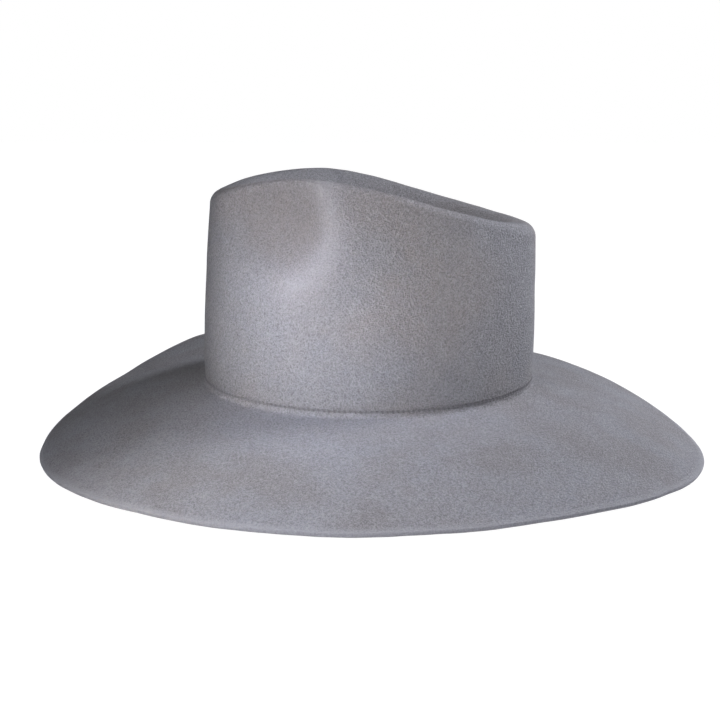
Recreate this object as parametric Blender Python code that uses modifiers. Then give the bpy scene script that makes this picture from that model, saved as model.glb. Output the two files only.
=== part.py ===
"""Wide-brimmed felt hat with a teardrop crown, a pinched front and a reeded leather sweatband.

Metres, +Z up. The origin is the middle of the head opening, in the plane of the brim break, where
the crown wall turns out into the brim. The front of the hat faces -Y and the wearer's left is +X.
Angles run round the head oval: 0 is the left side, +90 degrees the back and -90 degrees the front.
"""

import math

import bmesh
import bpy
import numpy as np

# Head opening, measured inside the sweatband.
HEAD_HALF_LENGTH = 0.0990
HEAD_HALF_WIDTH = 0.0810
HEAD_EGG = 0.020  # share by which the oval is wider behind than in front

# Layers of the crown wall, from the outside in.
FELT_THICKNESS = 0.0026
LINING_STANDOFF = 0.0010
LINING_THICKNESS = 0.00035
TAPE_THICKNESS = 0.0004
LEATHER_THICKNESS = 0.0010
CLEARANCE = 0.00032  # between two pieces that touch

# Crown: height of its crest above the brim break, at five stations from the front to the back.
CREST_STATIONS = (-1.0, -0.55, 0.0, 0.55, 1.0)  # shares of the half length
CREST_HEIGHTS = (0.1219, 0.1308, 0.1258, 0.1124, 0.1014)
SHOULDER_RADIUS_END = 0.0097  # over the front and the back, where the felt is only rounded
SHOULDER_RADIUS_SIDE = 0.0045  # along the sides, where it is folded over
LEAN_FRONT = 0.0067  # how far the wall leans in by the time it reaches the shoulder
LEAN_SIDE = 0.0196
LEAN_BACK = 0.0009
LEAN_POWER = 1.3
WALL_BULGE = 0.0008
TIP_DEPTH = 0.0220  # how far the teardrop is pressed in below the crest
TIP_SLOPE_SHARE = 0.46  # share of the way to the middle that its sides take

# Front pinch: one dent on each side of the crown, shallow in front and steep behind.
PINCH_ANGLE = math.radians(-32.0)
PINCH_BELOW_CREST = 0.0245
PINCH_DEPTH = 0.0078
PINCH_FRONT_ANGLE = math.radians(27)
PINCH_REAR_ANGLE = math.radians(17.5)
PINCH_HALF_HEIGHT = 0.0260

# Brim: its width along the felt, and its slope below the horizontal at the break and at the edge.
BREAK_RADIUS = 0.0020
BRIM_STATIONS = (0.0, 45.0, 90.0, 135.0, 180.0)  # degrees round from the front to the back
BRIM_WIDTHS = (0.1036, 0.1123, 0.1078, 0.1094, 0.1114)
BRIM_SLOPES_BREAK = (7.9, 5.5, 5.2, 7.0, 14.4)  # degrees
BRIM_SLOPES_EDGE = (27.0, 14.7, 16.0, 17.5, 26.1)
BRIM_LIFT = 5.6  # degrees by which the brim is bent up at its right front
BRIM_LIFT_ANGLE = math.radians(-142.5)
BRIM_LIFT_SPREAD = math.radians(16.0)

# Sweatband and its reed.
REED_RADIUS = 0.0009
REED_GAP = 0.0020  # between the ends of the reed, at the back
REED_HEIGHT = 0.0006  # of the middle of the reed above the break
CASING_TAIL_HEIGHT = 0.0085
SWEATBAND_HEIGHT = 0.0360
SWEATBAND_SEAM_GAP = 0.0006
SEAM_BACKING_WIDTH = 0.0120
SEAM_STITCH_HALF_WIDTH = 0.0024
SEAM_STITCHES = 9
THREAD_RADIUS = 0.00025
CROWN_STITCH_HEIGHT = 0.0038
CASING_STITCH_MARGIN = 0.0025  # above the lower edge of the leather

# Bow over the back seam.
BOW_HALF_WIDTH = 0.0125
BOW_RIBBON_HALF_HEIGHT = 0.0030
BOW_HALF_DEPTH = 0.0022
BOW_RIBBON_THICKNESS = 0.00035
BOW_KNOT_WIDTH = 0.0040
BOW_TAIL_LENGTH = 0.0130
BOW_TAIL_SPREAD = math.radians(32.0)
BOW_TAIL_GAP = 0.0020  # from the tips of the tails to the row of stitches below them

# Lining and label.
LINING_START_HEIGHT = 0.0160
LINING_BELOW_CREST = 0.0200
LINING_TIP_GAP = 0.0044  # under the middle of the felt's tip
LINING_SEAM_GAP = 0.0008
PIPING_RADIUS = 0.0007
LABEL_ANGLE = math.radians(62.0)
LABEL_WIDTH = 0.0150
LABEL_SHOWN = 0.0100  # above the top edge of the sweatband
LABEL_TUCKED = 0.0120
LABEL_THICKNESS = 0.0003

# Fineness of the facets.
AROUND = 48
TIP_RINGS = 7
SHOULDER_RINGS = 3
WALL_RINGS = 7
BREAK_RINGS = 3
BRIM_RINGS = 7

# Depths below the outer face of the crown wall, all from the layers above.
LINING_DEPTH = FELT_THICKNESS + LINING_STANDOFF
TUCKED_DEPTH = LINING_DEPTH + LINING_THICKNESS + CLEARANCE  # what lies between lining and leather
LEATHER_DEPTH = TUCKED_DEPTH + max(TAPE_THICKNESS, LABEL_THICKNESS) + CLEARANCE
LEATHER_FACE_DEPTH = LEATHER_DEPTH + LEATHER_THICKNESS
CASING_DEPTH = FELT_THICKNESS + CLEARANCE
REED_DEPTH = CASING_DEPTH + TAPE_THICKNESS + CLEARANCE + REED_RADIUS
CASING_BEND_RADIUS = REED_RADIUS + CLEARANCE
SWEATBAND_BOTTOM = REED_HEIGHT + CASING_BEND_RADIUS + TAPE_THICKNESS + CLEARANCE
SWEATBAND_TOP = SWEATBAND_BOTTOM + SWEATBAND_HEIGHT
CASING_ROW_HEIGHT = SWEATBAND_BOTTOM + CASING_STITCH_MARGIN
BOW_LAYER = BOW_RIBBON_THICKNESS + CLEARANCE
BOW_TAIL_HALF_WIDTH = 0.6 * BOW_RIBBON_HALF_HEIGHT
BOW_DROP = BOW_TAIL_LENGTH * math.cos(BOW_TAIL_SPREAD) + BOW_TAIL_HALF_WIDTH * math.sin(BOW_TAIL_SPREAD)
BOW_HEIGHT = CASING_ROW_HEIGHT + THREAD_RADIUS + BOW_TAIL_GAP + BOW_DROP
LINING_TIP_SAG = TIP_DEPTH + FELT_THICKNESS + LINING_TIP_GAP - LINING_BELOW_CREST

ANGLES = np.arange(AROUND) * math.tau / AROUND
CREST_CURVE = np.polynomial.Polynomial.fit(CREST_STATIONS, CREST_HEIGHTS, len(CREST_HEIGHTS) - 1)


# The shape of the hat.


def head_oval(angle, outset):
    """(x, y) of the head oval, pushed out along its own normal by outset."""
    sine, cosine = np.sin(angle), np.cos(angle)
    along_x = -HEAD_HALF_WIDTH * sine * (1 + HEAD_EGG * sine) + HEAD_HALF_WIDTH * HEAD_EGG * cosine**2
    along_y = HEAD_HALF_LENGTH * cosine
    length = np.hypot(along_x, along_y)
    x = HEAD_HALF_WIDTH * cosine * (1 + HEAD_EGG * sine) + outset * along_y / length
    y = HEAD_HALF_LENGTH * sine - outset * along_x / length
    return x, y


def crest_height(share):
    """Height of the crest at a share of the half length: -1 is the front and +1 the back."""
    return CREST_CURVE(share)


def shoulder_radius(angle):
    """Radius of the rounding from the wall to the crest, small along the sides."""
    return SHOULDER_RADIUS_SIDE + (SHOULDER_RADIUS_END - SHOULDER_RADIUS_SIDE) * np.sin(angle) ** 4


def pinch(angle, height):
    """How far the two front dents push the wall in: on each side a dish that is longer in front of
    its deepest line than behind it."""
    from_side = np.abs(np.mod(angle + math.pi / 2, math.tau) - math.pi)  # 0 at the back, pi in front
    dish_angle = math.pi / 2 - PINCH_ANGLE
    below = crest_height(np.sin(angle)) - height
    across = from_side - dish_angle
    across = across / np.where(across > 0, PINCH_FRONT_ANGLE, PINCH_REAR_ANGLE)
    up = (below - PINCH_BELOW_CREST) / PINCH_HALF_HEIGHT
    return PINCH_DEPTH * np.exp(-np.hypot(across, up) ** 3)


def wall_lean(angle, height):
    """How far the wall has leaned in at a height, without the front dents."""
    forward = np.sin(angle)
    end_lean = np.where(forward < 0, LEAN_FRONT, LEAN_BACK)
    full = LEAN_SIDE * (1 - forward**2) + end_lean * forward**2
    share = np.clip(height / (crest_height(forward) - shoulder_radius(angle)), 0, 1)
    return full * share**LEAN_POWER - WALL_BULGE * np.sin(math.pi * share)


def wall_point(angle, height, depth):
    """A ring of points at a depth below the outer face of the crown wall."""
    inset = wall_lean(angle, height) + pinch(angle, height)
    x, y = head_oval(angle, LEATHER_FACE_DEPTH - depth - inset)
    return np.stack([x, y, np.broadcast_to(height, x.shape)], axis=-1)


def shoulder_point(angle, turn):
    """A ring on the rounding from the wall, at turn 0, to the crest, at turn 90 degrees."""
    crest = crest_height(np.sin(angle))
    radius = shoulder_radius(angle)
    height = crest - radius * (1 - math.sin(turn))
    inset = wall_lean(angle, height) + pinch(angle, height) + radius * (1 - math.cos(turn))
    x, y = head_oval(angle, LEATHER_FACE_DEPTH - inset)
    return np.stack([x, y, height], axis=-1)


def smooth(share):
    """Eases from 0 to 1 with level ends."""
    share = np.clip(share, 0, 1)
    return share * share * (3 - 2 * share)


def tip_point(angle, reach):
    """A ring of the pressed-in tip, from its middle at reach 0 to the crest at reach 1."""
    crest = shoulder_point(angle, math.pi / 2)
    height = crest_height(reach * np.sin(angle)) - TIP_DEPTH * smooth((1 - reach) / TIP_SLOPE_SHARE)
    return np.stack([reach * crest[:, 0], reach * crest[:, 1], height], axis=-1)


def round_brim(angle, values):
    """A size of the brim at an angle: a cosine series through its values at the five stations."""
    order = np.arange(len(values))
    table = np.cos(np.radians(BRIM_STATIONS)[:, None] * order)
    from_front = np.asarray(angle) + math.pi / 2
    return np.cos(from_front[:, None] * order) @ np.linalg.solve(table, values)


def brim_slope(angle, slopes):
    """Slope of the brim in radians, with the lift at the right front taken off."""
    away = np.mod(angle - BRIM_LIFT_ANGLE + math.pi, math.tau) - math.pi
    return np.radians(round_brim(angle, slopes) - BRIM_LIFT * np.exp(-((away / BRIM_LIFT_SPREAD) ** 2)))


def break_point(angle, share):
    """A ring on the small rounding from the wall, at share 0, into the brim, at share 1."""
    turn = share * (math.pi / 2 - brim_slope(angle, BRIM_SLOPES_BREAK))
    x, y = head_oval(angle, LEATHER_FACE_DEPTH + BREAK_RADIUS * (1 - np.cos(turn)))
    return np.stack([x, y, BREAK_RADIUS * (1 - np.sin(turn))], axis=-1)


def brim_rings(angle, count):
    """Rings from the break to the edge. The slope grows evenly on the way out."""
    first = brim_slope(angle, BRIM_SLOPES_BREAK)
    last = brim_slope(angle, BRIM_SLOPES_EDGE)
    outset = BREAK_RADIUS * (1 - np.sin(first))
    height = BREAK_RADIUS * (1 - np.cos(first))
    step = (round_brim(angle, BRIM_WIDTHS) - BREAK_RADIUS) / count
    rings = []
    for i in range(count):
        slope = first + (last - first) * (i + 0.5) / count
        outset = outset + step * np.cos(slope)
        height = height - step * np.sin(slope)
        x, y = head_oval(angle, LEATHER_FACE_DEPTH + outset)
        rings.append(np.stack([x, y, height], axis=-1))
    return rings


def felt_rings():
    """Outer face of the felt as rings, from the innermost ring of the tip to the brim edge."""
    rings = [tip_point(ANGLES, (i + 1) / TIP_RINGS) for i in range(TIP_RINGS)]
    for i in range(SHOULDER_RINGS):
        rings.append(shoulder_point(ANGLES, math.pi / 2 * (1 - (i + 1) / SHOULDER_RINGS)))
    top = crest_height(np.sin(ANGLES)) - shoulder_radius(ANGLES)
    for i in range(WALL_RINGS):
        share = 1 - (i + 1) / WALL_RINGS
        rings.append(wall_point(ANGLES, BREAK_RADIUS + (top - BREAK_RADIUS) * share, 0))
    rings += [break_point(ANGLES, (i + 1) / BREAK_RINGS) for i in range(BREAK_RINGS)]
    return rings + brim_rings(ANGLES, BRIM_RINGS)


# Tools.


def clear_scene():
    for obj in list(bpy.data.objects):
        bpy.data.objects.remove(obj, do_unlink=True)


def new_collection(name):
    collection = bpy.data.collections.new(name)
    bpy.context.scene.collection.children.link(collection)
    return collection


def material(name, colour, roughness, metallic=0.0):
    made = bpy.data.materials.new(name)
    made.use_nodes = True
    shader = made.node_tree.nodes["Principled BSDF"]
    shader.inputs["Base Color"].default_value = (*colour, 1.0)
    shader.inputs["Roughness"].default_value = roughness
    shader.inputs["Metallic"].default_value = metallic
    made.diffuse_color = (*colour, 1.0)
    return made


def add_object(name, data, finish):
    obj = bpy.data.objects.new(name, data)
    HAT.objects.link(obj)
    data.materials.append(finish)
    return obj


def sheet(name, rings, finish, ring_closed=True, stack_closed=False, pole=None):
    """Open surface through rings of points. The last ring can join the first, and a pole can close
    the first ring. Its faces look outwards when the rings run down the outside of the hat."""
    mesh = bmesh.new()
    rows = [[mesh.verts.new(point) for point in ring] for ring in rings]
    count = len(rows[0])
    across = count if ring_closed else count - 1
    pairs = list(zip(rows, rows[1:])) + ([(rows[-1], rows[0])] if stack_closed else [])
    for upper, lower in pairs:
        for i in range(across):
            j = (i + 1) % count
            mesh.faces.new((upper[i], lower[i], lower[j], upper[j]))
    if pole is not None:
        middle = mesh.verts.new(pole)
        for i in range(count):
            mesh.faces.new((middle, rows[0][i], rows[0][(i + 1) % count]))
    data = bpy.data.meshes.new(name)
    mesh.to_mesh(data)
    mesh.free()
    data.shade_smooth()
    return add_object(name, data, finish)


def thicken(obj, thickness, outwards=False):
    """Gives a sheet its wall, inwards from its faces unless outwards is set."""
    modifier = obj.modifiers.new("wall", "SOLIDIFY")
    modifier.thickness = thickness
    modifier.offset = 1.0 if outwards else -1.0
    modifier.use_even_offset = True
    return obj


def strand(name, points, radius, finish, closed, resolution=1):
    """A cord or thread through points: a closed loop, or an open one with filled ends."""
    data = bpy.data.curves.new(name, "CURVE")
    data.dimensions = "3D"
    data.bevel_depth = radius
    data.bevel_resolution = resolution
    data.use_fill_caps = not closed
    spline = data.splines.new("POLY")
    spline.points.add(len(points) - 1)
    for slot, point in zip(spline.points, points):
        slot.co = (*point, 1.0)
    spline.use_cyclic_u = closed
    return add_object(name, data, finish)


def wall_patch(name, middle_angle, width, low, high, depth, thickness, finish):
    """A small rectangle that lies in the wall, between two heights."""
    x, y = head_oval(np.array([middle_angle, middle_angle + 0.01]), LEATHER_FACE_DEPTH - depth)
    half_angle = width / 2 / np.hypot(x[1] - x[0], y[1] - y[0]) * 0.01
    columns = np.linspace(middle_angle - half_angle, middle_angle + half_angle, 5)
    rings = [wall_point(columns, height, depth) for height in np.linspace(high, low, 3)]
    return thicken(sheet(name, rings, finish, ring_closed=False), thickness)


def open_angles(gap, depth):
    """Angles once round the oval from one side of a gap at the back to the other."""
    half = gap / 2 / (HEAD_HALF_WIDTH + LEATHER_FACE_DEPTH - depth)
    inner = ANGLES[(ANGLES > 0)] + math.pi / 2
    return np.concatenate([[math.pi / 2 + half], inner, [math.pi / 2 + math.tau - half]])


# The pieces, in the order the hat is put together.


def make_felt_body():
    """Crown and brim, blocked from one felt hood, with a raw cut edge."""
    pole = (0.0, 0.0, float(crest_height(0.0)) - TIP_DEPTH)
    obj = sheet("felt_body", felt_rings(), FELT, pole=pole)
    return thicken(obj, FELT_THICKNESS)


def make_reed():
    """Plastic reed that stiffens the lower edge of the sweatband."""
    points = wall_point(open_angles(REED_GAP, REED_DEPTH), REED_HEIGHT, REED_DEPTH)
    return strand("reed", points, REED_RADIUS, PLASTIC, closed=False)


def make_reed_casing():
    """Cloth tape folded under the reed: a tail behind the leather and a lip inside."""
    outer, inner = REED_DEPTH - CASING_BEND_RADIUS, REED_DEPTH + CASING_BEND_RADIUS
    lip = SWEATBAND_BOTTOM - CLEARANCE
    profile = [(outer, CASING_TAIL_HEIGHT), (outer, CROWN_STITCH_HEIGHT), (outer, REED_HEIGHT)]
    for turn in (math.pi * 0.25, math.pi * 0.5, math.pi * 0.75):
        across = REED_DEPTH - CASING_BEND_RADIUS * math.cos(turn)
        profile.append((across, REED_HEIGHT - CASING_BEND_RADIUS * math.sin(turn)))
    profile += [(inner, REED_HEIGHT), (inner, lip)]
    rings = [wall_point(ANGLES, height, depth) for depth, height in profile]
    return thicken(sheet("reed_casing", rings, TAPE), TAPE_THICKNESS, outwards=True)


def make_sweatband():
    """Leather band that turns up inside the crown. Its two ends butt at the back."""
    columns = open_angles(SWEATBAND_SEAM_GAP, LEATHER_DEPTH)
    heights = np.linspace(SWEATBAND_TOP, SWEATBAND_BOTTOM, 5)
    rings = [wall_point(columns, height, LEATHER_DEPTH) for height in heights]
    return thicken(sheet("sweatband", rings, LEATHER, ring_closed=False), LEATHER_THICKNESS)


def make_threads():
    """The lockstitch through felt and tape, and the row that holds the leather to the tape."""
    over = THREAD_RADIUS + CLEARANCE
    rows = {
        "crown_needle_thread": (CROWN_STITCH_HEIGHT, -over),
        "crown_bobbin_thread": (CROWN_STITCH_HEIGHT, CASING_DEPTH + TAPE_THICKNESS + over),
        "casing_thread": (CASING_ROW_HEIGHT, LEATHER_FACE_DEPTH + over),
    }
    for name, (height, depth) in rows.items():
        strand(name, wall_point(ANGLES, height, depth), THREAD_RADIUS, THREAD, closed=True)


def make_back_seam():
    """Tape behind the butted ends of the leather, and the zigzag thread across them."""
    wall_patch("back_seam_backing", math.pi / 2, SEAM_BACKING_WIDTH, SWEATBAND_BOTTOM + CASING_TAIL_HEIGHT,
               SWEATBAND_TOP - THREAD_RADIUS, TUCKED_DEPTH, TAPE_THICKNESS, TAPE)
    low = BOW_HEIGHT + BOW_RIBBON_HALF_HEIGHT + BOW_LAYER + 4 * THREAD_RADIUS
    heights = np.linspace(low, SWEATBAND_TOP - 4 * THREAD_RADIUS, 2 * SEAM_STITCHES + 1)
    points = []
    for i, height in enumerate(heights):
        side = SEAM_STITCH_HALF_WIDTH * (1 if i % 2 else -1)
        depth = LEATHER_FACE_DEPTH + CLEARANCE + THREAD_RADIUS
        middle = wall_point(np.array([math.pi / 2]), height, depth)[0]
        curve_away = side**2 * HEAD_HALF_LENGTH / (2 * HEAD_HALF_WIDTH**2)
        points.append((side, middle[1] - curve_away, height))
    strand("back_seam_thread", points, THREAD_RADIUS, THREAD, closed=False)


def bow_origin():
    """Point on the leather's face that the back of the bow lies against."""
    return wall_point(np.array([math.pi / 2]), BOW_HEIGHT, LEATHER_FACE_DEPTH + 2 * CLEARANCE)[0]


def make_bow():
    """Flat ribbon bow over the lower end of the back seam: tails, loops and knot, from the back."""
    x0, y0, z0 = bow_origin()
    layer, half = BOW_LAYER, BOW_TAIL_HALF_WIDTH
    out = (math.sin(BOW_TAIL_SPREAD), math.cos(BOW_TAIL_SPREAD))
    rows = []
    for side, reach in ((-1, BOW_TAIL_LENGTH), (-1, 0.0), (1, 0.0), (1, BOW_TAIL_LENGTH)):
        x = x0 + side * (BOW_KNOT_WIDTH / 2 + CLEARANCE + out[0] * reach)
        z = z0 - out[1] * reach
        wide, tall = (side * out[1] * half, out[0] * half) if reach else (0.0, half)
        rows.append([(x + wide, y0 - layer, z + tall), (x - wide, y0 - layer, z - tall)])
    thicken(sheet("bow_tails", rows, RIBBON, ring_closed=False), BOW_RIBBON_THICKNESS)

    turns = np.arange(28) * math.tau / 28
    cosine, sine = np.cos(turns), np.sin(turns)
    middle = y0 - 2 * layer - CLEARANCE - BOW_HALF_DEPTH
    x = x0 + BOW_HALF_WIDTH * cosine
    y = middle - BOW_HALF_DEPTH * sine * (0.30 + 0.70 * cosine**2)
    pull = BOW_RIBBON_HALF_HEIGHT * (0.55 + 0.45 * np.abs(cosine))
    loops = [np.stack([x, y, z0 + edge * pull], axis=-1) for edge in (1, -1)]
    thicken(sheet("bow_loops", loops, RIBBON), BOW_RIBBON_THICKNESS)

    front = middle - BOW_HALF_DEPTH * 0.40 - layer
    turns = np.arange(16) * math.tau / 16
    square_y = np.sign(np.cos(turns)) * np.abs(np.cos(turns)) ** 0.4
    square_z = np.sign(np.sin(turns)) * np.abs(np.sin(turns)) ** 0.4
    y = (y0 + front) / 2 + (y0 - front) / 2 * square_y
    z = z0 + (BOW_RIBBON_HALF_HEIGHT + layer) * square_z
    knot = [np.stack([np.full(16, x0 + edge * BOW_KNOT_WIDTH / 2), y, z], axis=-1) for edge in (-1, 1)]
    thicken(sheet("bow_knot", knot, RIBBON), BOW_RIBBON_THICKNESS)


def lining_edge_height(angle):
    """Height of the seam between the side of the lining and its tip."""
    return crest_height(np.sin(angle)) - LINING_BELOW_CREST


def make_lining():
    """Satin lining: a side band tucked behind the leather, an oval tip, and piping in the seam."""
    columns = open_angles(LINING_SEAM_GAP, LINING_DEPTH)
    top = lining_edge_height(columns)
    rings = []
    for share in np.linspace(1, 0, 7):
        height = LINING_START_HEIGHT + (top - LINING_START_HEIGHT) * share
        rings.append(wall_point(columns, height, LINING_DEPTH))
    thicken(sheet("lining_side", rings, SATIN, ring_closed=False), LINING_THICKNESS)

    edge = lining_edge_height(ANGLES) + CLEARANCE + LINING_THICKNESS
    rim = wall_point(ANGLES, edge, LINING_DEPTH)
    rings = []
    for reach in (0.2, 0.4, 0.55, 0.7, 0.85, 1.0):
        sag = LINING_TIP_SAG * smooth((1 - reach) / TIP_SLOPE_SHARE)
        fall = crest_height(np.sin(ANGLES)) - crest_height(reach * np.sin(ANGLES))
        rings.append(np.stack([reach * rim[:, 0], reach * rim[:, 1], edge - fall - sag], axis=-1))
    middle = float(crest_height(0.0)) - LINING_BELOW_CREST + CLEARANCE + LINING_THICKNESS
    pole = (0.0, 0.0, middle - LINING_TIP_SAG)
    thicken(sheet("lining_tip", rings, SATIN, pole=pole), LINING_THICKNESS)

    depth = LINING_DEPTH + LINING_THICKNESS + CLEARANCE + PIPING_RADIUS
    height = lining_edge_height(ANGLES) - PIPING_RADIUS - CLEARANCE
    strand("lining_piping", wall_point(ANGLES, height, depth), PIPING_RADIUS, SATIN, closed=True)


def make_label():
    """Blank woven size label, tucked between the leather and the lining."""
    low, high = SWEATBAND_TOP - LABEL_TUCKED, SWEATBAND_TOP + LABEL_SHOWN
    wall_patch("size_label", LABEL_ANGLE, LABEL_WIDTH, low, high, TUCKED_DEPTH, LABEL_THICKNESS, WOVEN)


clear_scene()
HAT = new_collection("felt_hat")
FELT = material("grey_wool_felt", (0.36, 0.35, 0.37), 0.95)
LEATHER = material("sweatband_leather", (0.30, 0.22, 0.16), 0.55)
PLASTIC = material("reed_plastic", (0.75, 0.74, 0.70), 0.40)
TAPE = material("cotton_tape", (0.22, 0.21, 0.21), 0.85)
THREAD = material("grey_thread", (0.30, 0.29, 0.31), 0.80)
RIBBON = material("bow_ribbon", (0.16, 0.15, 0.16), 0.60)
SATIN = material("lining_satin", (0.52, 0.50, 0.50), 0.35)
WOVEN = material("label_weave", (0.78, 0.76, 0.72), 0.80)
make_felt_body()
make_lining()
make_reed()
make_reed_casing()
make_sweatband()
make_threads()
make_back_seam()
make_bow()
make_label()
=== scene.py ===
"""A wide-brimmed wool felt hat, built piece by piece in the order a hatter puts it together.

Metres, +Z up, the front of the hat towards -Y and the wearer's left towards +X. The origin is the
middle of the head opening, in the plane where the crown wall turns out into the brim.
"""

import math

import bpy
import numpy as np
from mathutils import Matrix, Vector


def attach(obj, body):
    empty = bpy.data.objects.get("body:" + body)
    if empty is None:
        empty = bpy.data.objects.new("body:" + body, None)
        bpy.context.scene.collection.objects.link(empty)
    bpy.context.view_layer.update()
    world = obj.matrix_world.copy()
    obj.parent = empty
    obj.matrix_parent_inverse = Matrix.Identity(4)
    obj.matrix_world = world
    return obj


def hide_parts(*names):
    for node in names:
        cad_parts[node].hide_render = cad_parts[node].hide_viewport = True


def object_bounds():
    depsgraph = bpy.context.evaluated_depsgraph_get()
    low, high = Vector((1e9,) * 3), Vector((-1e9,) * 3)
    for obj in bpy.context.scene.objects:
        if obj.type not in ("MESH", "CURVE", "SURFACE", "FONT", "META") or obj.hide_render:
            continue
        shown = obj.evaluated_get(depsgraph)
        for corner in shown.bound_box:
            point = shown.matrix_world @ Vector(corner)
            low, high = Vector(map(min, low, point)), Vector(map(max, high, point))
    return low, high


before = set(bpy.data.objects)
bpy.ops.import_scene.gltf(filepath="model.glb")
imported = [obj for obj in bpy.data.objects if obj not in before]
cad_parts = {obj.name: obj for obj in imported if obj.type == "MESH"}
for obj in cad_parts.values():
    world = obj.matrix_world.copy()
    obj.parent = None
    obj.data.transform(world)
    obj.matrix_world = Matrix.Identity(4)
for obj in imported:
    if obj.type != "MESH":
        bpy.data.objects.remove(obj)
cad_box = [list(corner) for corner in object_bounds()]


# Studio: a pale floor under the hat and a pale surround. A small soft box and two weak snooted
# lamps stand close on the left side, a window is behind, and weak panels on the far side and on
# the floor keep the rest readable. The camera looks at the wearer's left side.

FLOOR_GAP = 0.0004
FLOOR_HALF_WIDTH = 6.0
FLOOR_COLOUR = 0.80, 0.80, 0.81, 1
FLOOR_GLOW = 1.12
FLOOR_GLOW_SHARE = 0.9  # of what the camera sees of the floor
SURROUND_ON_HAT = 0.02  # strength of the surround for everything but the camera
WHITE = 1.0, 1.0, 1.0, 1
CAMERA_FROM = 88.9, 13.08  # azimuth and elevation
CAMERA_DISTANCE = 0.6084
CAMERA_LENS = 47.35
CAMERA_SHIFT = -0.0123, -0.0392
AIM_HEIGHT = 0.030
LEFT_FACE = 0.088, -0.040, 0.045
CROWN_FOOT = 0.0, 0.02, 0.03


def feed(tree, socket, value):
    """Gives an input socket a value, or links it to another node's socket."""
    if isinstance(value, bpy.types.NodeSocket):
        tree.links.new(value, socket)
    else:
        socket.default_value = value


def place(tree, kind, settings=None, **inputs):
    """A node of this kind with its settings and inputs, which are named or numbered i0, i1, i2."""
    node = tree.nodes.new("ShaderNode" + kind)
    for key, value in (settings or {}).items():
        setattr(node, key, value)
    for key, value in inputs.items():
        numbered = key[0] == "i" and key[1:].isdigit()
        feed(tree, node.inputs[int(key[1:]) if numbered else key.replace("_", " ")], value)
    return node


def maths(tree, operation, *values):
    """The result socket of a Math node."""
    node = place(tree, "Math", {"operation": operation})
    for socket, value in zip(node.inputs, values):
        feed(tree, socket, value)
    return node.outputs[0]


def remap(tree, value, low, high, to_low=0.0, to_high=1.0):
    """A value taken from one range to another, clamped."""
    ends = {"From_Min": low, "From_Max": high, "To_Min": to_low, "To_Max": to_high}
    return place(tree, "MapRange", Value=value, **ends).outputs["Result"]


def towards(azimuth, elevation):
    """Unit vector from the hat towards a viewer or a lamp. Azimuth 0 is the front, 90 the left."""
    a, e = math.radians(azimuth), math.radians(elevation)
    return Vector((math.sin(a) * math.cos(e), -math.cos(a) * math.cos(e), math.sin(e)))


def disc_light(name, position, turn, size, power, colour, spread=180.0):
    """A round area light that the camera doesn't see."""
    data = bpy.data.lights.new(name, "AREA")
    data.shape, data.size, data.energy, data.color = "DISK", size, power, colour
    data.spread = math.radians(spread)
    light = bpy.data.objects.new(name, data)
    light.location, light.rotation_euler = position, turn
    light.visible_camera = False
    bpy.context.scene.collection.objects.link(light)


def lamp(name, azimuth, elevation, distance, aim=CROWN_FOOT, **light):
    """A disc light that stands in a direction from the hat and is aimed at a point of it."""
    position = Vector((0, 0, AIM_HEIGHT)) + towards(azimuth, elevation) * distance
    turn = (position - Vector(aim)).to_track_quat("Z", "Y").to_euler()
    disc_light(name, position, turn, **light)


floor_z = cad_box[0][2] - FLOOR_GAP
floor_mesh = bpy.data.meshes.new("floor")
floor_corners = [
    (x * FLOOR_HALF_WIDTH, y * FLOOR_HALF_WIDTH, floor_z)
    for x, y in ((-1, -1), (1, -1), (1, 1), (-1, 1))
]
floor_mesh.from_pydata(floor_corners, [], [(0, 1, 2, 3)])
floor = bpy.data.objects.new("floor", floor_mesh)
bpy.context.scene.collection.objects.link(floor)
paint = bpy.data.materials.new("floor_paint")
paint.use_nodes = True
tree = paint.node_tree
matt = tree.nodes["Principled BSDF"]
matt.inputs["Base Color"].default_value = FLOOR_COLOUR
matt.inputs["Roughness"].default_value = 0.9
matt.inputs["Specular IOR Level"].default_value = 0.1
glow = place(tree, "Emission", Color=WHITE, Strength=FLOOR_GLOW)
seen = place(tree, "LightPath").outputs["Is Camera Ray"]
glow_share = maths(tree, "MULTIPLY", seen, FLOOR_GLOW_SHARE)
lit = place(tree, "MixShader", i0=glow_share, i1=matt.outputs[0], i2=glow.outputs[0])
underneath = place(tree, "NewGeometry").outputs["Backfacing"]
clear = place(tree, "BsdfTransparent")
one_way = place(tree, "MixShader", i0=underneath, i1=lit.outputs[0], i2=clear.outputs[0])
tree.links.new(one_way.outputs[0], tree.nodes["Material Output"].inputs["Surface"])
floor_mesh.materials.append(paint)

world = bpy.data.worlds.new("surround")
world.use_nodes = True
tree = world.node_tree
background = tree.nodes["Background"]
background.inputs["Color"].default_value = WHITE
seen = place(tree, "LightPath").outputs["Is Camera Ray"]
strength = remap(tree, seen, 0.0, 1.0, SURROUND_ON_HAT, 1.0)
tree.links.new(strength, background.inputs["Strength"])
bpy.context.scene.world = world
bpy.context.scene.view_settings.view_transform = "Standard"

lamp("near_box", 68, 24, 0.42, LEFT_FACE, size=0.20, power=1.12, colour=(0.90, 0.90, 1.0))
snoot = {"aim": LEFT_FACE, "size": 0.10}
lamp("high_snoot", 48, 34, 0.36, power=0.036, colour=(0.70, 0.75, 1.0), spread=30.0, **snoot)
lamp("low_snoot", 50, 2, 0.36, power=0.026, colour=(1.0, 0.86, 0.62), spread=48.0, **snoot)
lamp("window", 195, 38, 1.2, size=0.4, power=15.2, colour=(0.89, 0.90, 1.0))
lamp("far_side", 300, 25, 1.6, size=0.8, power=0.9, colour=(0.97, 0.98, 1.0))
on_the_floor, facing_up = (0, 0.005, floor_z + 0.001), (math.pi, 0, 0)
disc_light("under_panel", on_the_floor, facing_up, size=0.30, power=0.22, colour=(1.0, 0.98, 0.96))

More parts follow.
